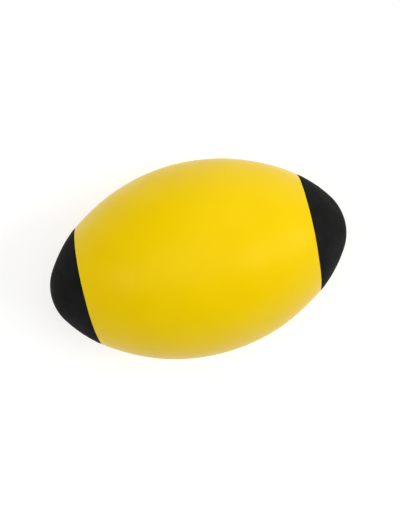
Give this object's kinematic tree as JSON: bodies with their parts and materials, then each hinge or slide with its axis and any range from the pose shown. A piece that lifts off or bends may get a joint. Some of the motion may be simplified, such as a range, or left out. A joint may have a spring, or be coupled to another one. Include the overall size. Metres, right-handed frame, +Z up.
{
  "type": "stress ball",
  "caption": "Rugby-shaped soft foam stress ball with a yellow coat, a black coat on each blunt end, and a round waist to squeeze in one hand.",
  "frame": {"origin": "the ball's centre, where its long axis crosses the middle of its waist", "axes": "+X along the long axis towards the right black end, +Z up when the ball lies on its side, +Y across it to the far side"},
  "size_m": [0.09, 0.0578, 0.0578],
  "materials": {
    "yellow_paint": "satin flexible colour coat over soft foam, faint orange peel",
    "black_paint": "matt flexible black coat over the yellow one",
    "skin_foam": "dense polyurethane foam skin, matt, tinted by the coat above it",
    "open_foam": "soft polyurethane foam, matt, fine open cells"
  },
  "bodies": {
    "root": {"foam_core": "open_foam", "integral_skin": "skin_foam", "yellow_coat": "yellow_paint", "black_end_left": "black_paint", "black_end_right": "black_paint"}
  },
  "joints": []
}
